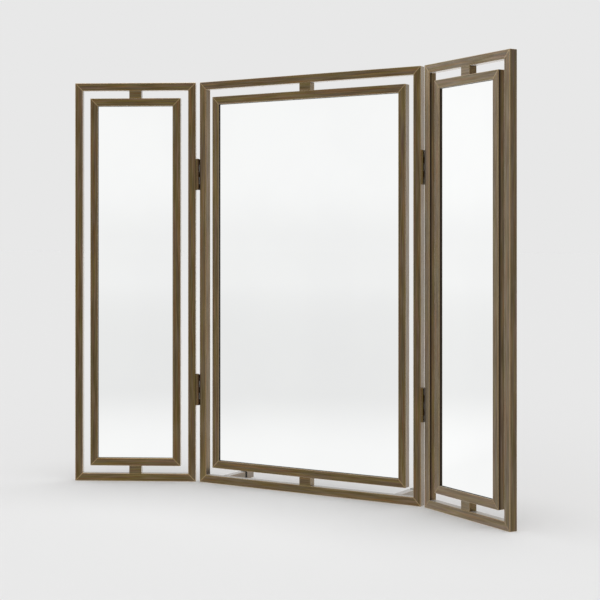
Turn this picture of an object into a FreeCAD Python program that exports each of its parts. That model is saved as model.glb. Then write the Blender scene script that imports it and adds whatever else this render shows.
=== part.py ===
import FreeCAD, Part
import os
import Sketcher

Vector = FreeCAD.Vector
Placement = FreeCAD.Placement
Rotation = FreeCAD.Rotation

# A folding dressing table mirror: a centre panel and two wings, each a double frame of mitred square tube.
# Millimetres, +Z up, front towards -Y. The origin is the middle of the centre panel's underside.

# Driving sizes in millimetres, apart from the angle, which is in degrees
driving_sizes = [
    ("panel_height", 780),
    ("centre_width", 480),
    ("closed_gap", 4),            # between the free edges of the wings when both are folded shut
    ("wing_angle", 28.5),         # each wing's forward fold at rest
    ("tube_side", 15),
    ("tube_wall", 1.2),
    ("tube_edge_radius", 1),
    ("frame_gap", 15),            # open space between the outer and the inner frame
    ("stub_width", 24),
    ("stub_edge_radius", 0.6),
    ("glass_recess", 3.5),        # from the frame's front back to the glass
    ("glass_thickness", 4),
    ("glass_clearance", 0.5),     # round the edge of the glass and of its board
    ("glass_arris", 0.5),
    ("tab_length", 26),
    ("tab_width", 12),
    ("tab_thickness", 1.5),
    ("tab_corner_radius", 3),
    ("tab_inset", 90),            # from the inner frame's ends to the outermost tabs
    ("hinge_length", 60),
    ("hinge_inset", 180),         # from the panel's ends to the middle of a hinge
    ("hinge_half_gap", 3.75),     # from a side tube to the hinge axis
    ("hinge_forward", 2),         # from the frame's front forward to the hinge axis
    ("leaf_thickness", 1.5),
    ("leaf_margin", 2),           # from the leaf's rear edge to the tube's rear
    ("knuckle_clearance", 0.3),   # between a knuckle and the tubes beside it
    ("knuckle_gap", 0.2),         # between one knuckle and the next
    ("pin_clearance", 0.05),
    ("pin_head_radius", 3.2),
    ("pin_head_height", 1.2),
    ("pin_crown_radius", 1.9),    # flat on top of a pin's head
    ("pin_shoulder_height", 0.6),
    ("screw_radius", 1.5),
    ("screw_length", 6),
    ("screw_clearance", 0.05),
    ("screw_end_gap", 1),         # left below a screw's tip in the board
    ("sunk_head_radius", 2.75),
    ("pan_head_radius", 2.8),
    ("pan_head_height", 1.8),
    ("pan_crown_radius", 1.7),    # flat on top of a tab screw's head
    ("pan_shoulder_height", 0.9),
    ("recess_length", 3),         # cross recess in a screw's head, from tip to tip
    ("recess_width", 0.8),
    ("recess_depth", 1),
    ("hinge_screw_pitch", 20),
    ("foot_inset", 53),           # from the centre panel's side to the middle of a rear foot
    ("foot_length", 55),
    ("foot_reveal", 6.5),         # dark break between a foot and its cap
    ("foot_cap_length", 24),
    ("foot_plug_depth", 18),
    ("foot_plug_clearance", 0.1),
]

knuckle_count = 5
tab_levels = (-1, 0, 1)
hinge_screw_levels = (-1, 0, 1)

doc = FreeCAD.newDocument("FoldingMirror")
sheet = doc.addObject("Spreadsheet::Sheet", "Sizes")
for row, (alias, amount) in enumerate(driving_sizes, start=1):
    sheet.set("A%d" % row, alias)
    sheet.set("B%d" % row, str(amount))
    sheet.setAlias("B%d" % row, alias)
doc.recompute()

# Sizes that follow from the driving ones
tube_bore = "(Sizes.tube_side - 2 * Sizes.tube_wall)"
half_tube = "(Sizes.tube_side / 2)"
wing_width = "((Sizes.centre_width - Sizes.closed_gap) / 2)"
frame_step = "(2 * (Sizes.tube_side + Sizes.frame_gap))"
inner_height = "(Sizes.panel_height - %s)" % frame_step
opening_height = "(%s - 2 * Sizes.tube_side)" % inner_height
glass_height = "(%s - 2 * Sizes.glass_clearance)" % opening_height
board_thickness = "(Sizes.tube_side - Sizes.glass_recess - Sizes.glass_thickness)"
board_hole_depth = "(Sizes.screw_length - Sizes.tab_thickness + Sizes.screw_end_gap)"
tab_spread = "(%s / 2 - Sizes.tab_inset)" % inner_height
screw_hole_radius = "(Sizes.screw_radius + Sizes.screw_clearance)"
sunk_depth = "(Sizes.sunk_head_radius - Sizes.screw_radius)"
hinge_spread = "(Sizes.panel_height / 2 - Sizes.hinge_inset)"
leaf_depth = "(Sizes.hinge_forward + Sizes.tube_side - Sizes.leaf_margin)"
leaf_face = "(Sizes.hinge_half_gap - Sizes.leaf_thickness)"
leaf_screw_depth = "(Sizes.hinge_forward + %s)" % half_tube
knuckle_gaps = "(%d * Sizes.knuckle_gap)" % (knuckle_count - 1)
knuckle_height = "((Sizes.hinge_length - %s) / %d)" % (knuckle_gaps, knuckle_count)
knuckle_pitch = "(%s + Sizes.knuckle_gap)" % knuckle_height
knuckle_radius = "(Sizes.hinge_half_gap - Sizes.knuckle_clearance)"
knuckle_bore = "(%s - Sizes.leaf_thickness)" % knuckle_radius
notch_reach = "(sqrt(Sizes.hinge_half_gap ^ 2 - %s ^ 2))" % leaf_face
pin_radius = "(%s - Sizes.pin_clearance)" % knuckle_bore
foot_place = "(Sizes.centre_width / 2 - Sizes.foot_inset)"
foot_plug_side = "(%s - 2 * Sizes.foot_plug_clearance)" % tube_bore

nodes = []


def size(expression):
    return float(sheet.evalExpression(expression))


def new_body(label, place=Placement()):
    body = doc.addObject("PartDesign::Body", label)
    body.Label = label
    body.Placement = place
    return body


def new_node(label, place):
    body = new_body(label, place)
    nodes.append(body)
    return body


# Sketches

def sketch_on(body, name, role, offset=None):
    sketch = body.newObject("Sketcher::SketchObject", name)
    plane = [feature for feature in body.Origin.OriginFeatures if feature.Role == role][0]
    sketch.AttachmentSupport = (plane, [""])
    sketch.MapMode = "FlatFace"
    if offset:
        sketch.setExpression("AttachmentOffset.Base.z", offset)
    return sketch


def hold_point(sketch, geometry, point, x, y):
    for kind, axis, expression in (("DistanceX", -2, x), ("DistanceY", -1, y)):
        if expression == "0":
            sketch.addConstraint(Sketcher.Constraint("PointOnObject", geometry, point, axis))
            continue
        constraint = Sketcher.Constraint(kind, -1, 1, geometry, point, size(expression))
        number = sketch.addConstraint(constraint)
        sketch.setExpression("Constraints[%d]" % number, expression)


def draw_outline(sketch, corners):
    first = sketch.GeometryCount
    points = [Vector(size(x), size(y), 0) for x, y in corners]
    for here, there in zip(points, points[1:] + points[:1]):
        sketch.addGeometry(Part.LineSegment(here, there))
    for step, (x, y) in enumerate(corners):
        following = (step + 1) % len(corners)
        sketch.addConstraint(Sketcher.Constraint("Coincident", first + step, 2, first + following, 1))
        hold_point(sketch, first + step, 1, x, y)


def draw_box(sketch, left, right, low, high):
    draw_outline(sketch, [(left, low), (right, low), (right, high), (left, high)])


def draw_centred_box(sketch, width, height):
    half_width = "%s / 2" % width
    half_height = "%s / 2" % height
    draw_box(sketch, "-" + half_width, half_width, "-" + half_height, half_height)


def draw_circle(sketch, x, y, radius):
    middle = Vector(size(x), size(y), 0)
    number = sketch.addGeometry(Part.Circle(middle, Vector(0, 0, 1), size(radius)))
    hold_point(sketch, number, 3, x, y)
    rule = sketch.addConstraint(Sketcher.Constraint("Radius", number, size(radius)))
    sketch.setExpression("Constraints[%d]" % rule, radius)


# Features

def add_pad(body, sketch, length, symmetric=False, backward=False):
    pad = body.newObject("PartDesign::Pad", sketch.Name + "_pad")
    pad.Profile = sketch
    pad.setExpression("Length", length)
    pad.SideType = "Symmetric" if symmetric else "One side"
    pad.Reversed = backward


def cut_through(body, sketch, symmetric=True):
    pocket = body.newObject("PartDesign::Pocket", sketch.Name + "_cut")
    pocket.Profile = sketch
    pocket.Type = "ThroughAll"
    pocket.SideType = "Symmetric" if symmetric else "One side"


def cut_deep(body, sketch, depth, backward=False):
    pocket = body.newObject("PartDesign::Pocket", sketch.Name + "_cut")
    pocket.Profile = sketch
    pocket.Type = "Length"
    pocket.setExpression("Length", depth)
    pocket.Reversed = backward


def turn_round(body, sketch):
    turning = body.newObject("PartDesign::Revolution", sketch.Name + "_turning")
    turning.Profile = sketch
    turning.ReferenceAxis = (sketch, ["V_Axis"])
    turning.Angle = 360


def dress_edges(body, kind, amount, chosen):
    doc.recompute()
    base = body.Tip
    names = ["Edge%d" % (i + 1) for i, edge in enumerate(base.Shape.Edges) if chosen(edge)]
    dressed = body.newObject("PartDesign::" + kind, body.Name + "_" + kind.lower())
    dressed.Base = (base, names)
    dressed.setExpression("Radius" if kind == "Fillet" else "Size", amount)
    body.Tip = dressed


def near(first, second, tolerance=1e-4):
    return abs(first - second) < tolerance


# Every outer edge of a tube before it is cut, so that a frame's corners come out rounded too
def outside_corner(edge):
    half = size(half_tube)
    return all(near(abs(end.Y), half) and near(abs(end.Z), half) for end in edge.Vertexes)


# Square tube along X, with its outer side towards -Z and its rear towards +Y

def square_tube(label, length, place, mitred=True, rear_holes=(), side_holes=()):
    body = new_node(label, place)
    profile = sketch_on(body, label + "_profile", "YZ_Plane")
    draw_centred_box(profile, "Sizes.tube_side", "Sizes.tube_side")
    draw_centred_box(profile, tube_bore, tube_bore)
    add_pad(body, profile, length, symmetric=True)
    dress_edges(body, "Fillet", "Sizes.tube_edge_radius", outside_corner)
    if mitred:
        mitre = sketch_on(body, label + "_mitre", "XZ_Plane")
        overcut = "Sizes.tube_side"
        below = "-(%s + %s)" % (half_tube, overcut)
        above = "(%s + %s)" % (half_tube, overcut)
        for sign in ("", "-"):
            tip = "%s(%s / 2 + %s)" % (sign, length, overcut)
            heel = "%s(%s / 2 - Sizes.tube_side - %s)" % (sign, length, overcut)
            draw_outline(mitre, [(tip, below), (tip, above), (heel, above)])
        cut_through(body, mitre)
    if rear_holes:
        drilling = sketch_on(body, label + "_rear_holes", "XZ_Plane")
        for place_along in rear_holes:
            draw_circle(drilling, place_along, "0", screw_hole_radius)
        cut_through(body, drilling, symmetric=False)
    if side_holes:
        drilling = sketch_on(body, label + "_side_holes", "XY_Plane")
        for place_along in side_holes:
            draw_circle(drilling, place_along, "0", screw_hole_radius)
        cut_through(body, drilling, symmetric=False)


# Turn about Y that brings a tube's outer side round to each side of a frame
side_turns = {"bottom": 0, "right": -90, "top": 180, "left": 90}


def tube_frame(prefix, width, height, place, rear_holes=(), side_holes=(), drilled_sides=()):
    middle = Vector(0, 0, size("Sizes.panel_height / 2"))
    for side, angle in side_turns.items():
        upright = side in ("left", "right")
        length, across = (height, width) if upright else (width, height)
        turn = Rotation(Vector(0, 1, 0), angle)
        outward = turn.multVec(Vector(0, 0, -1))
        offset = outward * size("(%s - Sizes.tube_side) / 2" % across)
        square_tube(
            "%s_%s_tube" % (prefix, side),
            length,
            place * Placement(middle + offset, turn),
            rear_holes=rear_holes if upright else (),
            side_holes=side_holes if side in drilled_sides else (),
        )


def along(level, spread):
    return "0" if level == 0 else "%d * %s" % (level, spread)


def stub(label, level, place):
    body = new_node(label, place * Placement(Vector(0, 0, size(level)), Rotation()))
    profile = sketch_on(body, label + "_profile", "XY_Plane")
    draw_centred_box(profile, "Sizes.stub_width", "Sizes.tube_side")
    add_pad(body, profile, "Sizes.frame_gap")

    def upright_edge(edge):
        low, high = [end.Z for end in edge.Vertexes]
        return not near(low, high)

    dress_edges(body, "Fillet", "Sizes.stub_edge_radius", upright_edge)


def mirror_glass(label, opening_width, place):
    front = Vector(0, size("Sizes.glass_recess - %s" % half_tube), size("Sizes.panel_height / 2"))
    body = new_node(label, place * Placement(front, Rotation()))
    profile = sketch_on(body, label + "_profile", "XZ_Plane")
    draw_centred_box(profile, "(%s - 2 * Sizes.glass_clearance)" % opening_width, glass_height)
    add_pad(body, profile, "Sizes.glass_thickness", backward=True)

    def front_edge(edge):
        return all(near(end.Y, 0) for end in edge.Vertexes)

    dress_edges(body, "Chamfer", "Sizes.glass_arris", front_edge)


def backing_board(label, opening_width, place):
    front_depth = "Sizes.glass_recess + Sizes.glass_thickness - %s" % half_tube
    front = Vector(0, size(front_depth), size("Sizes.panel_height / 2"))
    body = new_node(label, place * Placement(front, Rotation()))
    profile = sketch_on(body, label + "_profile", "XZ_Plane")
    draw_centred_box(profile, "(%s - 2 * Sizes.glass_clearance)" % opening_width, glass_height)
    add_pad(body, profile, board_thickness, backward=True)
    drilling = sketch_on(body, label + "_holes", "XZ_Plane", offset="-" + board_thickness)
    for sign in (-1, 1):
        hole_x = "%d * (%s / 2 - %s)" % (sign, opening_width, half_tube)
        for level in tab_levels:
            draw_circle(drilling, hole_x, along(level, tab_spread), screw_hole_radius)
    cut_deep(body, drilling, board_hole_depth, backward=True)


# Masters that are repeated in groups

def make_tab():
    body = new_body("tab_master")
    profile = sketch_on(body, "tab_profile", "XZ_Plane")
    draw_centred_box(profile, "Sizes.tab_length", "Sizes.tab_width")
    add_pad(body, profile, "Sizes.tab_thickness", backward=True)

    def corner(edge):
        front, rear = [end.Y for end in edge.Vertexes]
        return not near(front, rear)

    dress_edges(body, "Fillet", "Sizes.tab_corner_radius", corner)
    drilling = sketch_on(body, "tab_holes", "XZ_Plane")
    for sign in ("", "-"):
        draw_circle(drilling, sign + half_tube, "0", screw_hole_radius)
    cut_through(body, drilling)
    return body


def turned(label, outline):
    body = new_body(label)
    profile = sketch_on(body, label + "_profile", "XZ_Plane")
    draw_outline(profile, outline)
    turn_round(body, profile)
    return body


def cut_recess(body, name, head_top=None):
    recess = sketch_on(body, name, "XY_Plane", offset=head_top)
    tip = "(Sizes.recess_length / 2)"
    flank = "(Sizes.recess_width / 2)"
    draw_outline(recess, [
        ("-" + tip, "-" + flank),
        ("-" + flank, "-" + flank),
        ("-" + flank, "-" + tip),
        (flank, "-" + tip),
        (flank, "-" + flank),
        (tip, "-" + flank),
        (tip, flank),
        (flank, flank),
        (flank, tip),
        ("-" + flank, tip),
        ("-" + flank, flank),
        ("-" + tip, flank),
    ])
    cut_deep(body, recess, "Sizes.recess_depth")


def make_pan_screw():
    body = turned("pan_screw_master", [
        ("0", "-(Sizes.screw_length)"),
        ("Sizes.screw_radius", "-(Sizes.screw_length)"),
        ("Sizes.screw_radius", "0"),
        ("Sizes.pan_head_radius", "0"),
        ("Sizes.pan_head_radius", "Sizes.pan_shoulder_height"),
        ("Sizes.pan_crown_radius", "Sizes.pan_head_height"),
        ("0", "Sizes.pan_head_height"),
    ])
    cut_recess(body, "pan_screw_recess", "Sizes.pan_head_height")
    return body


def make_sunk_screw():
    body = turned("sunk_screw_master", [
        ("0", "-(Sizes.screw_length)"),
        ("Sizes.screw_radius", "-(Sizes.screw_length)"),
        ("Sizes.screw_radius", "-" + sunk_depth),
        ("Sizes.sunk_head_radius", "0"),
        ("0", "0"),
    ])
    cut_recess(body, "sunk_screw_recess")
    return body


def make_pin():
    half_length = "(Sizes.hinge_length / 2)"
    head_top = "(%s + Sizes.pin_head_height)" % half_length
    shoulder = "(%s + Sizes.pin_shoulder_height)" % half_length
    return turned("pin_master", [
        ("0", "-" + half_length),
        (pin_radius, "-" + half_length),
        (pin_radius, half_length),
        ("Sizes.pin_head_radius", half_length),
        ("Sizes.pin_head_radius", shoulder),
        ("Sizes.pin_crown_radius", head_top),
        ("0", head_top),
    ])


def group(label, master, places):
    links = []
    for number, place in enumerate(places, start=1):
        link = doc.addObject("App::Link", "%s_%d" % (label, number))
        link.LinkedObject = master
        link.Placement = place
        links.append(link)
    gathered = doc.addObject("Part::Compound", label)
    gathered.Label = label
    gathered.Links = links
    nodes.append(gathered)


tab_master = make_tab()
pan_screw_master = make_pan_screw()
sunk_screw_master = make_sunk_screw()
pin_master = make_pin()


# One whole panel

def panel(name, width, place, hinged_sides):
    inner_width = "(%s - %s)" % (width, frame_step)
    opening_width = "(%s - 2 * Sizes.tube_side)" % inner_width
    hinge_holes = []
    for end in (-1, 1):
        for level in hinge_screw_levels:
            hinge_holes.append("%d * %s + %d * Sizes.hinge_screw_pitch" % (end, hinge_spread, level))
    tab_holes = [along(level, tab_spread) for level in tab_levels]
    tube_frame(name + "_outer", width, "Sizes.panel_height", place,
               side_holes=hinge_holes, drilled_sides=hinged_sides)
    tube_frame(name + "_inner", inner_width, inner_height, place, rear_holes=tab_holes)
    stub(name + "_bottom_stub", "Sizes.tube_side", place)
    stub(name + "_top_stub", "Sizes.panel_height - Sizes.tube_side - Sizes.frame_gap", place)
    mirror_glass(name + "_mirror_glass", opening_width, place)
    backing_board(name + "_backing_board", opening_width, place)
    rear = size(half_tube)
    tab_rear = size("%s + Sizes.tab_thickness" % half_tube)
    middle = size("Sizes.panel_height / 2")
    facing_back = Rotation(Vector(1, 0, 0), -90)
    tab_places = []
    screw_places = []
    for sign in (-1, 1):
        edge = sign * size(opening_width + " / 2")
        for level in tab_levels:
            height = middle + size(along(level, tab_spread))
            tab_places.append(place * Placement(Vector(edge, rear, height), Rotation()))
            for shift in (-rear, rear):
                spot = Vector(edge + shift, tab_rear, height)
                screw_places.append(place * Placement(spot, facing_back))
    group(name + "_glass_tabs", tab_master, tab_places)
    group(name + "_tab_screws", pan_screw_master, screw_places)


# Butt hinge leaf: the axis is local Z, and the plate lies on the tube at -X

every_knuckle = range(-(knuckle_count // 2), knuckle_count // 2 + 1)
centre_knuckles = every_knuckle[::2]
wing_knuckles = every_knuckle[1::2]


def hinge_leaf(label, own_knuckles, place):
    body = new_node(label, place)
    plate = sketch_on(body, label + "_plate", "XY_Plane")
    draw_box(plate, "-(Sizes.hinge_half_gap)", "-" + leaf_face, "0", leaf_depth)
    add_pad(body, plate, "Sizes.hinge_length", symmetric=True)
    notches = sketch_on(body, label + "_notches", "YZ_Plane")
    barrel = sketch_on(body, label + "_barrel", "XZ_Plane")
    for knuckle in every_knuckle:
        own = knuckle in own_knuckles
        reach = "(%s / 2 + %s)" % (knuckle_height, "0" if own else "Sizes.knuckle_gap")
        low = "%d * %s - %s" % (knuckle, knuckle_pitch, reach)
        high = "%d * %s + %s" % (knuckle, knuckle_pitch, reach)
        if own:
            draw_box(barrel, knuckle_bore, knuckle_radius, low, high)
        else:
            draw_box(notches, "-" + notch_reach, notch_reach, low, high)
    cut_through(body, notches)
    turn_round(body, barrel)
    drilling = sketch_on(body, label + "_holes", "YZ_Plane")
    for level in hinge_screw_levels:
        draw_circle(drilling, leaf_screw_depth, along(level, "Sizes.hinge_screw_pitch"), screw_hole_radius)
    cut_through(body, drilling)
    inner_face = -size(leaf_face)

    def hole_rim(edge):
        return edge.Closed and all(near(end.X, inner_face) for end in edge.Vertexes)

    dress_edges(body, "Chamfer", sunk_depth, hole_rim)


def leaf_screws(leaf_place):
    into_tube = Rotation(Vector(0, 1, 0), 90)
    places = []
    for level in hinge_screw_levels:
        height = size(along(level, "Sizes.hinge_screw_pitch"))
        spot = Vector(-size(leaf_face), size(leaf_screw_depth), height)
        places.append(leaf_place * Placement(spot, into_tube))
    return places


def turn_about(axis_point, angle):
    swing = Placement(axis_point, Rotation(Vector(0, 0, 1), angle))
    return swing * Placement(axis_point * -1, Rotation())


# Wings are laid out flat beside the centre panel and then folded forward about their hinges
axis_x = size("Sizes.centre_width / 2 + Sizes.hinge_half_gap")
axis_y = -size("%s + Sizes.hinge_forward" % half_tube)
wing_shift = size("Sizes.centre_width / 2 + 2 * Sizes.hinge_half_gap + %s / 2" % wing_width)
wing_angle = size("Sizes.wing_angle")
hinge_levels = {
    "upper": size("Sizes.panel_height / 2 + %s" % hinge_spread),
    "lower": size("Sizes.panel_height / 2 - %s" % hinge_spread),
}

panel("centre", "Sizes.centre_width", Placement(), ("left", "right"))
centre_leaf_screws = []
half_turn = Rotation(Vector(0, 1, 0), 180)
for hand, sign, hinge_side in (("left", -1, "right"), ("right", 1, "left")):
    fold = -sign * wing_angle
    swing = turn_about(Vector(sign * axis_x, axis_y, 0), fold)
    flat = Placement(Vector(sign * wing_shift, 0, 0), Rotation())
    panel(hand + "_wing", wing_width, swing * flat, (hinge_side,))
    centre_turn = Rotation() if sign > 0 else half_turn
    wing_turn = half_turn if sign > 0 else Rotation()
    wing_leaf_screws = []
    pin_places = []
    for level, height in hinge_levels.items():
        spot = Vector(sign * axis_x, axis_y, height)
        centre_place = Placement(spot, centre_turn)
        wing_place = Placement(spot, Rotation(Vector(0, 0, 1), fold) * wing_turn)
        hinge_leaf("%s_%s_hinge_centre_leaf" % (hand, level), centre_knuckles, centre_place)
        hinge_leaf("%s_%s_hinge_wing_leaf" % (hand, level), wing_knuckles, wing_place)
        centre_leaf_screws += leaf_screws(centre_place)
        wing_leaf_screws += leaf_screws(wing_place)
        pin_places.append(Placement(spot, Rotation()))
    group(hand + "_hinge_pins", pin_master, pin_places)
    group(hand + "_wing_hinge_screws", sunk_screw_master, wing_leaf_screws)
group("centre_hinge_screws", sunk_screw_master, centre_leaf_screws)


# Rear feet: a length of tube behind the bottom tube, with a plugged end cap set off by a dark break

def foot_cap(label, place):
    body = new_node(label, place)
    block = sketch_on(body, label + "_block", "YZ_Plane")
    draw_centred_box(block, "Sizes.tube_side", "Sizes.tube_side")
    add_pad(body, block, "Sizes.foot_cap_length")
    cap_end = size("Sizes.foot_cap_length")

    def outer_edge(edge):
        at_end = all(near(end.X, cap_end) for end in edge.Vertexes)
        return at_end or outside_corner(edge) and not all(near(end.X, 0) for end in edge.Vertexes)

    dress_edges(body, "Fillet", "Sizes.tube_edge_radius", outer_edge)
    plug = sketch_on(body, label + "_plug", "YZ_Plane")
    draw_centred_box(plug, foot_plug_side, foot_plug_side)
    add_pad(body, plug, "Sizes.foot_reveal + Sizes.foot_plug_depth", backward=True)


straight_back = Rotation(Vector(0, 0, 1), 90)
foot_rise = size(half_tube)
for hand, sign in (("left", -1), ("right", 1)):
    foot_x = sign * size(foot_place)
    tube_y = size("%s + Sizes.foot_length / 2" % half_tube)
    cap_y = size("%s + Sizes.foot_length + Sizes.foot_reveal" % half_tube)
    tube_place = Placement(Vector(foot_x, tube_y, foot_rise), straight_back)
    square_tube(hand + "_foot_tube", "Sizes.foot_length", tube_place, mitred=False)
    foot_cap(hand + "_foot_cap", Placement(Vector(foot_x, cap_y, foot_rise), straight_back))

doc.recompute()

# Nothing is written unless every object is sound
for item in doc.Objects:
    if "Invalid" in item.State or "Error" in item.State:
        raise RuntimeError("%s did not build: %s" % (item.Label, item.State))
for node in nodes:
    if node.Shape.isNull() or not node.Shape.isValid():
        raise RuntimeError("%s has no valid shape" % node.Label)

os.makedirs("parts", exist_ok=True)
for node in nodes:
    node.Shape.exportStep("parts/%s.step" % node.Label)
print("%d nodes, %d solids" % (len(nodes), sum(len(node.Shape.Solids) for node in nodes)))
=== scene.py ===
import math

import bmesh
import bpy
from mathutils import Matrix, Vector


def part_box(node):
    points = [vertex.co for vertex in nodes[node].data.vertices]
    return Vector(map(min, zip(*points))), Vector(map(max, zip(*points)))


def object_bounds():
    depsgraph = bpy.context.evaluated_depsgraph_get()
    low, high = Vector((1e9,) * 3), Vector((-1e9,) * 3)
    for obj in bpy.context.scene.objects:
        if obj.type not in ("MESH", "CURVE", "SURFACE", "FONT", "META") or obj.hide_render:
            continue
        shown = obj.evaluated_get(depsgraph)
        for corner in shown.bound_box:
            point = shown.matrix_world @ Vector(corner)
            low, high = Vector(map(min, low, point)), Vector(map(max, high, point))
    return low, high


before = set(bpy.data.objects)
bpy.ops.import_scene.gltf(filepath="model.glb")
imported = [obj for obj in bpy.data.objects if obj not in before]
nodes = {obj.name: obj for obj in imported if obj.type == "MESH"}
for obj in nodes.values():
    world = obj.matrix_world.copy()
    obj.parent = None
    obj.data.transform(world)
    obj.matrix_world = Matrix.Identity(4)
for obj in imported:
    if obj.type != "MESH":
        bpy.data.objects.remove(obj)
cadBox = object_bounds()
mm = 0.001

# The three panels, each with its own across, through and up directions
panels = {
    "centre": {
        "width": 480,                                  # mm
        "turn": 0,                                     # degrees about the upright
        "grain": 16,                                   # which stretch of the brushing the panel shows
        "paintedLight": (0.12, 0.0),                          # painted light: how much paler the left uprights and the bottom rails are made
        "stainAndShade": 0.0,                                  # painted shade in the gap between the frames, behind the front edges
    },
    "left_wing": {"width": 238, "turn": 28.5, "grain": 7, "paintedLight": (0.0, 0.08), "stainAndShade": 0.85},
    "right_wing": {"width": 238, "turn": -28.5, "grain": 102, "paintedLight": (0.28, 0.22), "stainAndShade": 0.85},
}
section = {
    "tube": 15,                                        # mm, side of the square tube
    "gap": 15,                                         # between the outer and the inner frame
    "stub": 24,                                        # length of the blocks in that gap
    "glassEdge": 45.5,                                 # from a panel's side to its glass
}
panelHeight = (cadBox[1][2] - cadBox[0][2]) / mm
tubeHalf = section["tube"] / 2
gapHalf = section["gap"] / 2


def panelPlace(name):
    low, high = (Vector(corner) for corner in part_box(name + "_outer_bottom_tube"))
    middle = (low + high) / 2
    middle.z = panelHeight * mm / 2
    return middle, math.radians(panels[name]["turn"])


# Shader maths: a Wire is a socket that takes part in sums, a NodeSheet adds the nodes
class Wire:
    def __init__(self, sheet, socket):
        self.sheet = sheet
        self.socket = socket

    def __add__(self, other):
        return self.sheet.maths("ADD", self, other)

    def __radd__(self, other):
        return self.sheet.maths("ADD", other, self)

    def __sub__(self, other):
        return self.sheet.maths("SUBTRACT", self, other)

    def __rsub__(self, other):
        return self.sheet.maths("SUBTRACT", other, self)

    def __mul__(self, other):
        return self.sheet.maths("MULTIPLY", self, other)

    def __rmul__(self, other):
        return self.sheet.maths("MULTIPLY", other, self)

    def __abs__(self):
        return self.sheet.maths("ABSOLUTE", self)


class NodeSheet:
    def __init__(self, tree):
        self.tree = tree

    def node(self, kind, settings=None, sockets=None, out=0):
        made = self.tree.nodes.new("ShaderNode" + kind)
        for name, value in (settings or {}).items():
            setattr(made, name, value)
        for key, value in (sockets or {}).items():
            self.feed(made.inputs[key], value)
        return Wire(self, made.outputs[out])

    def feed(self, socket, value):
        if isinstance(value, Wire):
            self.tree.links.new(value.socket, socket)
        else:
            socket.default_value = value

    def maths(self, operation, *values):
        return self.node("Math", {"operation": operation}, dict(enumerate(values)))

    def axes(self, vector):
        return [self.node("SeparateXYZ", None, {0: vector}, out) for out in "XYZ"]

    def larger(self, one, other):
        return self.maths("MAXIMUM", one, other)

    def smaller(self, one, other):
        return self.maths("MINIMUM", one, other)

    def backAndForth(self, value, half):               # up to half, down to 0 and up again
        return self.maths("PINGPONG", value, half)

    def ramp(self, value, start, end):                 # 0 at start, 1 at end, eased between
        return self.node("MapRange", {"interpolation_type": "SMOOTHSTEP"}, {0: value, 1: start, 2: end})

    def rise(self, value, amount, start, end):         # 0 at start, amount at end
        return amount * self.ramp(value, start, end)

    def mix(self, mask, colour, other):
        return self.node("Mix", {"data_type": "RGBA"}, {0: mask, 6: colour, 7: other}, 2)

    def shade(self, colour, value):                    # a colour times a grey value
        grey = self.node("CombineColor", None, {0: value, 1: value, 2: value})
        settings = {"data_type": "RGBA", "blend_type": "MULTIPLY"}
        return self.node("Mix", settings, {0: 1.0, 6: colour, 7: grey}, 2)

    def stretch(self, vector, x, y, z):
        return self.node("VectorMath", {"operation": "MULTIPLY"}, {0: vector, 1: (x, y, z)})

    def noise(self, vector, detail, roughness=0.5, scale=1.0, grain=0):
        sockets = {"Vector": vector, "W": grain, "Scale": scale, "Detail": detail, "Roughness": roughness}
        return self.node("TexNoise", {"noise_dimensions": "4D"}, sockets)

    def placed(self, middle=(0, 0, 0), turn=0):        # mm from middle, along a turned piece's own sides
        place = self.node("TexCoord", None, None, "Object")
        sockets = {"Vector": place, "Location": middle, "Rotation": (0, 0, turn), "Scale": (mm, mm, mm)}
        return self.node("Mapping", {"vector_type": "TEXTURE"}, sockets)

    def direction(self, vector):
        return self.axes(self.node("VectorMath", {"operation": "NORMALIZE"}, {0: vector}))

    def bump(self, height, distance):
        return self.node("Bump", None, {"Height": height, "Distance": distance * mm, "Strength": 1.0})


def newFinish(name):
    material = bpy.data.materials.new(name)
    material.use_nodes = True
    return material, NodeSheet(material.node_tree)


def putOn(material, sheet, **sockets):                 # feeds the shader's sockets, spaces written as _
    shader = material.node_tree.nodes["Principled BSDF"]
    for name, value in sockets.items():
        sheet.feed(shader.inputs[name.replace("_", " ")], value)
    return material


noiseMiddle = 0.5

# Antique bronze, brushed along each tube and rubbed bright on its edges; the bright edges are partly real
# wear and partly a painted highlight
bronze = {
    "brown": (0.111, 0.056, 0.0148, 1),
    "olive": (0.093, 0.0635, 0.0125, 1),
    "mauve": (0.109, 0.062, 0.0285, 1),
    "umber": (0.061, 0.033, 0.009, 1),
    "gold": (0.400, 0.285, 0.145, 1),
    "tint": (150, 4, 2),                               # streaks: mm long, mm wide, fineness
    "streak": (80, 3.0, 3),
    "hair": (60, 0.5, 5),
    "wax": (45, 1.6, 2),
    "oliveAt": (0.38, 0.50),                           # where in its streaks a tone starts and is full
    "mauveAt": (0.51, 0.62),
    "umberAt": (0.52, 0.30),
    "paleAt": (0.42, 0.72),
    "scratchAt": (0.32, 0.68),
    "waxAt": (0.33, 0.67),
    "umberShare": 0.6,
    "base": 0.625,                                     # brightness, and what streaks and hairs add to it
    "pale": 0.42,
    "scratch": 0.45,
    "railTone": 1.1,                                   # rails are a little paler than uprights
    "rubAndHighlight": (1.3, 0.325),                               # mm from an edge where its rub and painted highlight start and are full
    "ragged": 0.9,                                     # mm by which the rub wanders
    "bright": 0.75,
    "stubBright": 0.2,
    "seam": (0.16, 0.064),                             # the same for the mitre's dark line and its rub
    "seamDark": 0.8,
    "seamRub": (1.1, 0.33),
    "roughness": 0.21,
    "roughnessHair": 0.12,
    "roughnessRub": 0.06,
    "coat": 0.5,                                       # lacquer, and how far the wax thins and thickens it
    "coatThin": 0.3,
    "coatMore": 1.4,
    "lacquer": 0.3,                                    # how rough the coat is
    "film": 1.0,                                       # pale film left by wax and polish, seen at a slant
    "filmRoughness": 0.42,
    "filmTint": (1.0, 0.95, 0.90, 1),
    "hairDepth": 0.006,                                # mm
}


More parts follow.
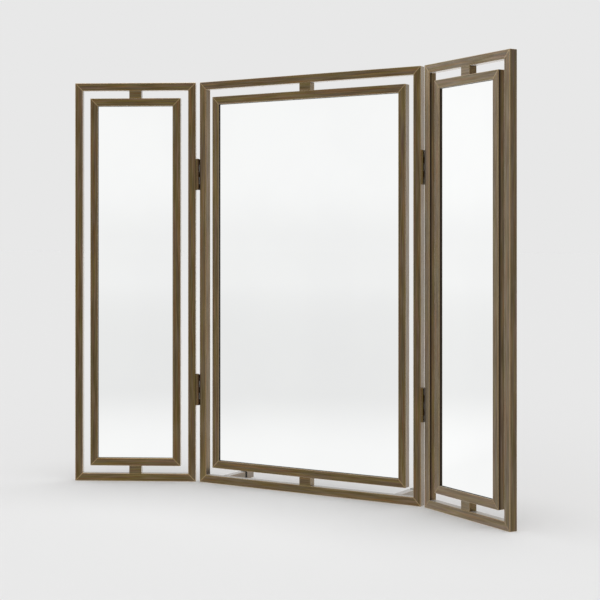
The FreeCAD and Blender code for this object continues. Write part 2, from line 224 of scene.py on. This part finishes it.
def bronzeLook(sheet, place, run, edge, grain, seam=None, tone=1.0, bright=bronze["bright"]):
    def brushed(long, wide, fineness):
        drawn = sheet.stretch(place, *[1 / (long if axis == run else wide) for axis in "xyz"])
        return sheet.noise(drawn, detail=fineness, grain=grain)

    tint, streak, hair, wax = (brushed(*bronze[name]) for name in ("tint", "streak", "hair", "wax"))
    colour = sheet.mix(sheet.ramp(tint, *bronze["oliveAt"]), bronze["brown"], bronze["olive"])
    colour = sheet.mix(sheet.ramp(tint, *bronze["mauveAt"]), colour, bronze["mauve"])
    umber = sheet.ramp(streak, *bronze["umberAt"]) * bronze["umberShare"]
    colour = sheet.mix(umber, colour, bronze["umber"])
    pale = sheet.rise(streak, bronze["pale"], *bronze["paleAt"])
    scratch = sheet.rise(hair, bronze["scratch"], *bronze["scratchAt"])
    colour = sheet.shade(colour, (bronze["base"] + pale + scratch) * tone)
    # gold on the edges: partly real rub, partly a painted highlight
    wander = bronze["ragged"] * (streak - noiseMiddle)
    rubAndHighlightMask = sheet.ramp(edge + wander, *bronze["rubAndHighlight"])
    if seam is not None:
        rubAndHighlightMask = sheet.larger(rubAndHighlightMask, sheet.ramp(seam, *bronze["seamRub"]))
    colour = sheet.mix(rubAndHighlightMask * bright, colour, bronze["gold"])
    if seam is not None:
        line = sheet.ramp(seam, *bronze["seam"]) * bronze["seamDark"]
        colour = sheet.mix(line, colour, bronze["umber"])
    roughness = bronze["roughness"] + bronze["roughnessHair"] * (hair - noiseMiddle)
    roughness = roughness + bronze["roughnessRub"] * rubAndHighlightMask
    coat = bronze["coat"] * (bronze["coatThin"] + sheet.rise(wax, bronze["coatMore"], *bronze["waxAt"]))
    return colour, roughness, sheet.bump(hair, bronze["hairDepth"]), coat


def putBronze(material, sheet, look, film=bronze["film"], lacquer=bronze["lacquer"]):
    colour, roughness, normal, coat = look
    return putOn(
        material, sheet, Base_Color=colour, Roughness=roughness, Metallic=1.0, Normal=normal,
        Coat_Weight=coat, Coat_Roughness=lacquer,
        Sheen_Weight=film, Sheen_Roughness=bronze["filmRoughness"], Sheen_Tint=bronze["filmTint"],
    )


def panelEdges(sheet, place, name):                    # mm in from the panel's side, its end and its faces
    across, through, up = sheet.axes(place)
    fromSide = panels[name]["width"] / 2 - abs(across)
    fromEnd = panelHeight / 2 - abs(up)
    return across, up, fromSide, fromEnd, tubeHalf - abs(through)


# Inside an upright's frame: painted shade behind the front edges, in the gap between the frames; dark and
# dull beside the glass
inside = {
    "stainAndShade": (0.034, 0.018, 0.006, 1),
    "shadeFront": (0.5, 1.0),                          # mm behind the front, from none to full
    "shadeBack": (6.5, 4.0),
    "shadeEdge": (0.7, 0.3),                           # mm out of the gap
    "rebate": (0.038, 0.027, 0.018, 1),
    "rebateEdge": (0.85, 0.55),                        # mm before the glass
    "rebateShare": 0.95,
    "rebateRoughness": 0.2,
}


def darkenInside(sheet, place, offset, amount, look):
    colour, roughness, normal, coat = look
    fromFront = sheet.axes(place)[1] + tubeHalf
    # painted shade: darker and less coated behind the front edges, in the gap between the frames
    stainAndShade = sheet.ramp(fromFront, *inside["shadeFront"]) * sheet.ramp(fromFront, *inside["shadeBack"])
    fromGap = abs(offset - (section["tube"] + gapHalf)) - gapHalf
    stainAndShade = stainAndShade * sheet.ramp(fromGap, *inside["shadeEdge"]) * amount
    colour = sheet.mix(stainAndShade, colour, inside["stainAndShade"])
    coat = coat * (1 - stainAndShade)
    rebate = sheet.ramp(section["glassEdge"] - offset, *inside["rebateEdge"])
    colour = sheet.mix(rebate * inside["rebateShare"], colour, inside["rebate"])
    roughness = roughness + inside["rebateRoughness"] * rebate
    return colour, roughness, normal, coat * (1 - rebate)


def uprightFinish(name):
    panel = panels[name]
    material, sheet = newFinish(name + "_upright_bronze")
    place = sheet.placed(*panelPlace(name))
    across, up, fromSide, fromEnd, fromFace = panelEdges(sheet, place, name)
    edge = sheet.larger(sheet.backAndForth(fromSide, tubeHalf), fromFace)
    # painted light: the left upright made paler by the panel's amount
    tone = 1 + sheet.rise(across, panel["paintedLight"][0], tubeHalf, -tubeHalf)
    look = bronzeLook(sheet, place, "z", edge, panel["grain"], abs(fromSide - fromEnd), tone)
    return putBronze(material, sheet, darkenInside(sheet, place, fromSide, panel["stainAndShade"], look))


def railFinish(name):
    panel = panels[name]
    material, sheet = newFinish(name + "_rail_bronze")
    place = sheet.placed(*panelPlace(name))
    across, up, fromSide, fromEnd, fromFace = panelEdges(sheet, place, name)
    edge = sheet.larger(sheet.backAndForth(fromEnd, tubeHalf), fromFace)
    # painted light: the bottom rails made paler by the panel's amount
    tone = bronze["railTone"] + sheet.rise(up, panel["paintedLight"][1], tubeHalf, -tubeHalf)
    look = bronzeLook(sheet, place, "x", edge, panel["grain"], abs(fromSide - fromEnd), tone)
    return putBronze(material, sheet, look)


def stubFinish(name):
    material, sheet = newFinish(name + "_stub_bronze")
    place = sheet.placed(*panelPlace(name))
    across, up, fromSide, fromEnd, fromFace = panelEdges(sheet, place, name)
    offset = sheet.smaller(section["stub"] / 2 - abs(across), sheet.backAndForth(fromEnd, tubeHalf))
    edge = sheet.larger(offset, fromFace)
    grain, tone, bright = panels[name]["grain"], bronze["railTone"], bronze["stubBright"]
    look = bronzeLook(sheet, place, "x", edge, grain, tone=tone, bright=bright)
    return putBronze(material, sheet, look)


# Feet: the same metal under a thicker, smoother lacquer
foot = {
    "left": 17,                                        # grain of each foot
    "right": 19,
    "gloss": 5.0,                                      # times the tubes' coat, at most 1
    "lacquer": 0.12,
}


def footFinish(side):
    low, high = (Vector(corner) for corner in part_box(side + "_foot_tube"))
    material, sheet = newFinish(side + "_foot_bronze")
    place = sheet.placed((low + high) / 2)
    across, along, up = sheet.axes(place)
    edge = sheet.larger(tubeHalf - abs(across), tubeHalf - abs(up))
    look = bronzeLook(sheet, place, "y", edge, foot[side], bright=bronze["stubBright"])
    colour, roughness, normal, coat = look
    coat = sheet.smaller(foot["gloss"] * coat, 1.0)
    return putBronze(material, sheet, (colour, roughness, normal, coat), lacquer=foot["lacquer"])


# Foot cap: bronze end block behind a neck coloured dark
cap = {
    "black": (0.024, 0.016, 0.006, 1),
    "length": 24,                                      # mm of the block
    "neckEdge": (0.1, -0.1),                           # mm from the block, from bronze to black
    "neckRoughness": 0.35,
}


def capFinish(side):
    low, high = (Vector(corner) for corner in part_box(side + "_foot_cap"))
    material, sheet = newFinish(side + "_cap_bronze")
    place = sheet.placed(((low.x + high.x) / 2, high.y - cap["length"] * mm, (low.z + high.z) / 2))
    across, along, up = sheet.axes(place)
    fromSide, fromTop, fromEnd = tubeHalf - abs(across), tubeHalf - abs(up), cap["length"] - along
    corner = sheet.smaller(fromSide, fromTop)
    edge = sheet.larger(corner, sheet.smaller(sheet.larger(fromSide, fromTop), fromEnd))
    colour, roughness, normal, coat = bronzeLook(sheet, place, "y", edge, foot[side])
    neck = sheet.ramp(along, *cap["neckEdge"])
    colour = sheet.mix(neck, colour, cap["black"])
    roughness = roughness + cap["neckRoughness"] * neck
    coat = sheet.smaller(foot["gloss"] * coat, 1.0) * (1 - neck)
    return putBronze(material, sheet, (colour, roughness, normal, coat), lacquer=foot["lacquer"])


# Hinges: the same metal, with the knuckle ends rubbed bright like the edges, and painted shade on the
# plates, dark between the tubes
hinge = {
    "left": 23,                                        # grain of each side's hinges
    "right": 29,
    "tone": 1.05,
    "length": 60,                                      # mm
    "knuckles": 5,
    "rubAndHighlight": 0.5,                                        # mm of knuckle end that takes the edges' rub and painted highlight
    "radius": 3.45,
    "plateEdge": (0.2, 1.2),                           # past the radius squared, from bronze to dark
    "dark": (0.050, 0.029, 0.008, 1),
    "plateRoughness": 0.2,
}


def hingeFinish(side, level):
    low, high = (Vector(corner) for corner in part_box(side + "_hinge_pins"))
    axis = (low + high) / 2
    axis.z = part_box(side + "_" + level + "_hinge_centre_leaf")[0][2]
    material, sheet = newFinish(side + "_" + level + "_hinge_bronze")
    place = sheet.placed(axis)
    across, through, up = sheet.axes(place)
    knuckleHalf = hinge["length"] / hinge["knuckles"] / 2
    edge = sheet.backAndForth(up, knuckleHalf) + (bronze["rubAndHighlight"][0] - hinge["rubAndHighlight"])
    colour, roughness, normal, coat = bronzeLook(sheet, place, "z", edge, hinge[side], tone=hinge["tone"])
    # painted shade: past the knuckles the plates, which sit between the tubes, are dark, duller and
    # uncoated
    start, end = (hinge["radius"] ** 2 + past for past in hinge["plateEdge"])
    plate = sheet.ramp(across * across + through * through, start, end)
    colour = sheet.mix(plate, colour, hinge["dark"])
    roughness = roughness + hinge["plateRoughness"] * plate
    return putBronze(material, sheet, (colour, roughness, normal, coat * (1 - plate)), film=0.0)


# Mirror: silvered glass with a polished arris
mirror = {
    "silver": (0.930, 0.938, 0.934, 1),
    "cloud": (0.915, 0.922, 0.920, 1),
    "cloudSize": 160,                                  # mm
    "cloudAt": (0.35, 0.7),
    "arris": (0.62, 0.67, 0.63, 1),
    "arrisAt": (0.72, 0.36),                           # mm from the glass's edge
    "roughness": 0.004,
    "arrisRoughness": 0.06,
}


def mirrorFinish(name):
    material, sheet = newFinish(name + "_silvered_glass")
    place = sheet.placed(*panelPlace(name))
    across, up, fromSide, fromEnd, fromFace = panelEdges(sheet, place, name)
    inset = sheet.smaller(fromSide, fromEnd) - section["glassEdge"]
    cloud = sheet.noise(place, detail=3, scale=1 / mirror["cloudSize"])
    colour = sheet.mix(sheet.ramp(cloud, *mirror["cloudAt"]), mirror["silver"], mirror["cloud"])
    arris = sheet.ramp(inset, *mirror["arrisAt"])
    colour = sheet.mix(arris, colour, mirror["arris"])
    roughness = mirror["roughness"] + mirror["arrisRoughness"] * arris
    return putOn(material, sheet, Base_Color=colour, Roughness=roughness, Metallic=1.0)


# Backing board: fibreboard, stained dark
board = {
    "stainAndShade": (0.046, 0.033, 0.024, 1),
    "fibre": (0.105, 0.076, 0.052, 1),
    "fibreLong": 5,                                    # mm
    "fibreWide": 0.7,
    "fibreAt": (0.42, 0.72),
    "fibreDepth": 0.08,
    "blotch": 70,                                      # mm
    "blotchDark": 0.7,                                 # darkest, and what the palest adds
    "blotchPale": 0.6,
    "roughness": 0.58,
    "roughnessFibre": 0.25,
}


def boardFinish(name):
    material, sheet = newFinish(name + "_stained_board")
    place = sheet.placed(*panelPlace(name))
    drawn = sheet.stretch(place, 1 / board["fibreWide"], 1, 1 / board["fibreLong"])
    fibre = sheet.noise(drawn, detail=4, roughness=0.6)
    blotch = sheet.noise(place, detail=4, roughness=0.6, scale=1 / board["blotch"])
    colour = sheet.mix(sheet.ramp(fibre, *board["fibreAt"]), board["stainAndShade"], board["fibre"])
    colour = sheet.shade(colour, board["blotchDark"] + board["blotchPale"] * blotch)
    roughness = board["roughness"] + board["roughnessFibre"] * fibre
    normal = sheet.bump(fibre, board["fibreDepth"])
    return putOn(material, sheet, Base_Color=colour, Roughness=roughness, Normal=normal)


# Tabs and their screws: zinc plate
zinc = {
    "pale": (0.60, 0.58, 0.53, 1),
    "dull": (0.36, 0.35, 0.33, 1),
    "crystal": 2.2,                                    # mm
    "crystalAt": (0.35, 0.65),
    "crystalDepth": 0.01,
    "roughness": 0.26,
    "roughnessCrystal": 0.22,
    "screwTone": 0.8,
}


def zincFinish(name, tone=1.0):
    material, sheet = newFinish(name)
    crystal = sheet.noise(sheet.placed(), detail=3, roughness=0.6, scale=1 / zinc["crystal"])
    colour = sheet.mix(sheet.ramp(crystal, *zinc["crystalAt"]), zinc["pale"], zinc["dull"])
    colour = sheet.shade(colour, tone)
    roughness = zinc["roughness"] + zinc["roughnessCrystal"] * crystal
    normal = sheet.bump(crystal, zinc["crystalDepth"])
    return putOn(material, sheet, Base_Color=colour, Roughness=roughness, Metallic=1.0, Normal=normal)


def dress(material, *names):
    for name in names:
        piece = nodes[name]
        piece.data.materials.clear()
        piece.data.materials.append(material)


tabZinc = zincFinish("tab_zinc")
screwZinc = zincFinish("screw_zinc", zinc["screwTone"])
for name in panels:
    for finish, sides in ((uprightFinish, ("left", "right")), (railFinish, ("top", "bottom"))):
        tubes = [f"{name}_{ring}_{side}_tube" for ring in ("outer", "inner") for side in sides]
        dress(finish(name), *tubes)
    dress(stubFinish(name), name + "_top_stub", name + "_bottom_stub")
    dress(mirrorFinish(name), name + "_mirror_glass")
    dress(boardFinish(name), name + "_backing_board")
    dress(tabZinc, name + "_glass_tabs")
    dress(screwZinc, name + "_tab_screws")
hingeBronze = {}
for side in ("left", "right"):
    dress(footFinish(side), side + "_foot_tube")
    dress(capFinish(side), side + "_foot_cap")
    for level in ("upper", "lower"):
        hingeBronze[side, level] = hingeFinish(side, level)
        leaves = [f"{side}_{level}_hinge_{leaf}_leaf" for leaf in ("centre", "wing")]
        dress(hingeBronze[side, level], *leaves)
    dress(hingeBronze[side, "upper"], side + "_hinge_pins")
for name in panels:
    dress(hingeBronze["left", "upper"], name + "_hinge_screws")
print("finishes:", len(bpy.data.materials))

# Stage: a pale floor in an even white surround, with one broad soft lamp overhead
stage = {
    "backdrop": 0.807,                                 # what the camera sees behind the floor
    "floorAlbedo": 0.80,
    "floorHalf": 60,                                   # m
    "fill": 0.42,                                      # even light on matt surfaces
    "lamp": 1.86,
    "lampTilt": (3, 2),                                # degrees towards the back and the right
    "lampSpread": 42,                                  # degrees across
}

# What metal and glass reflect: how much more, from which direction, to which
shine = {
    "horizon": 0.937,
    "top": (0.061, 0.0, 0.045),
    "left": (0.035, -0.80, -0.97),
    "right": (-0.25, 0.70, 0.97),
    "back": (0.06, 0.2, 0.8),
    "straightBack": (0.2, 0.78, 0.95),
    "backSide": (-0.25, 0.1),                          # from the left, where these two begin
    "leftBack": (-0.14, -0.2, -0.45),
    "leftBackDepth": (0.4, 0.8),
    "floorMiddle": 0.868,                              # the floor, by distance in m, then by direction
    "floorNear": (0.134, 1.75, 0.45),
    "floorFar": (0.065, 2.6, 14),
    "floorBack": (0.30, 0.3, 0.8),
}

# Two soft boxes to the left, one a little in front and one a little behind
softBox = {
    "front": 1.30,
    "frontStart": (-0.20, -0.32),
    "frontFade": 0.13,
    "rear": 0.9,
    "rearFade": 0.07,
    "rearEnd": (0.3, 0.2),
    "side": (-0.5, -0.7),
    "onFloor": (-0.35, -0.09),                         # where the front one ends and the rear one starts
    "inSurround": (-0.44, -0.118),
    "floorFrom": (0.35, -0.07, 0),                     # m, the floor point they are seen from
    "floorReach": (0.8, 1.3),                          # m
}


def softBoxes(sheet, side, depth, frontEnd, rearStart):
    front = sheet.ramp(depth, *softBox["frontStart"])
    front = front * sheet.ramp(depth, frontEnd - softBox["frontFade"], frontEnd)
    rear = sheet.ramp(depth, rearStart, rearStart + softBox["rearFade"])
    rear = rear * sheet.ramp(depth, *softBox["rearEnd"])
    return (softBox["front"] * front + softBox["rear"] * rear) * sheet.ramp(side, *softBox["side"])


def floorShine(sheet):
    place = sheet.node("TexCoord", None, None, "Object")
    distance = sheet.node("VectorMath", {"operation": "LENGTH"}, {0: place}, "Value")
    side, depth, up = sheet.direction(place)
    level = shine["floorMiddle"] + sheet.rise(distance, *shine["floorNear"])
    level = level + sheet.rise(distance, *shine["floorFar"])
    level = level + sheet.rise(side, *shine["left"]) + sheet.rise(depth, *shine["floorBack"])
    fromWing = sheet.node("VectorMath", {"operation": "SUBTRACT"}, {0: place, 1: softBox["floorFrom"]})
    side, depth, up = sheet.direction(fromWing)
    boxes = softBoxes(sheet, side, depth, *softBox["onFloor"])
    return level + boxes * sheet.ramp(distance, *softBox["floorReach"])


def makeFloor():
    mesh = bpy.data.meshes.new("floor")
    form = bmesh.new()
    bmesh.ops.create_grid(form, x_segments=1, y_segments=1, size=stage["floorHalf"])
    form.to_mesh(mesh)
    form.free()
    floor = bpy.data.objects.new("floor", mesh)
    bpy.context.scene.collection.objects.link(floor)
    material, sheet = newFinish("pale_floor")
    material.cycles.emission_sampling = "NONE"
    material.node_tree.nodes.remove(material.node_tree.nodes["Principled BSDF"])
    albedo = stage["floorAlbedo"]
    matt = sheet.node("BsdfDiffuse", None, {"Color": (albedo, albedo, albedo, 1)})
    glow = sheet.node("Emission", None, {"Color": (1, 1, 1, 1), "Strength": floorShine(sheet)})
    glossy = sheet.node("LightPath", None, None, "Is Glossy Ray")
    result = sheet.node("MixShader", None, {0: glossy, 1: matt, 2: glow})
    sheet.feed(material.node_tree.nodes["Material Output"].inputs["Surface"], result)
    mesh.materials.append(material)


def makeSurround():
    world = bpy.data.worlds.new("studio")
    world.use_nodes = True
    bpy.context.scene.world = world
    sheet = NodeSheet(world.node_tree)
    side, depth, up = sheet.axes(sheet.node("TexCoord", None, None, "Generated"))
    bright = shine["horizon"] + sheet.rise(up, *shine["top"])
    bright = bright + sheet.rise(side, *shine["left"]) + sheet.rise(side, *shine["right"])
    bright = bright + softBoxes(sheet, side, depth, *softBox["inSurround"])
    behind = sheet.rise(depth, *shine["back"]) + sheet.rise(depth, *shine["straightBack"])
    bright = bright + behind * sheet.ramp(side, *shine["backSide"])
    bright = bright + sheet.rise(side, *shine["leftBack"]) * sheet.ramp(depth, *shine["leftBackDepth"])
    camera = sheet.node("LightPath", None, None, "Is Camera Ray")
    glossy = sheet.node("LightPath", None, None, "Is Glossy Ray")
    level = stage["fill"] + glossy * (bright - stage["fill"])
    level = level + camera * (stage["backdrop"] - level)
    background = world.node_tree.nodes["Background"]
    sheet.feed(background.inputs["Strength"], level)
    sheet.feed(background.inputs["Color"], (1, 1, 1, 1))


def makeLamp():
    light = bpy.data.lights.new("overhead", "SUN")
    light.energy = stage["lamp"]
    light.angle = math.radians(stage["lampSpread"])
    lamp = bpy.data.objects.new("overhead", light)
    back, right = (math.radians(angle) for angle in stage["lampTilt"])
    lamp.rotation_euler = (-back, right, 0)
    bpy.context.scene.collection.objects.link(lamp)


# Camera: level, with the lens shifted
view = {
    "place": (1.311993, -2.167584, 0.465696),          # m
    "turn": 31.4726,                                   # degrees
    "lens": 81.5094,                                   # mm
    "sensor": 36,
    "shift": -0.094345,
    "reach": 200,                                      # m
}


def makeCamera():
    lens = bpy.data.cameras.new("camera")
    lens.lens = view["lens"]
    lens.sensor_width = view["sensor"]
    lens.shift_y = view["shift"]
    lens.clip_end = view["reach"]
    camera = bpy.data.objects.new("camera", lens)
    camera.location = view["place"]
    camera.rotation_euler = (math.radians(90), 0, math.radians(view["turn"]))
    bpy.context.scene.collection.objects.link(camera)
    bpy.context.scene.camera = camera


makeFloor()
makeSurround()
makeLamp()
makeCamera()
bpy.context.scene.view_settings.view_transform = "Standard"
print("stage set")
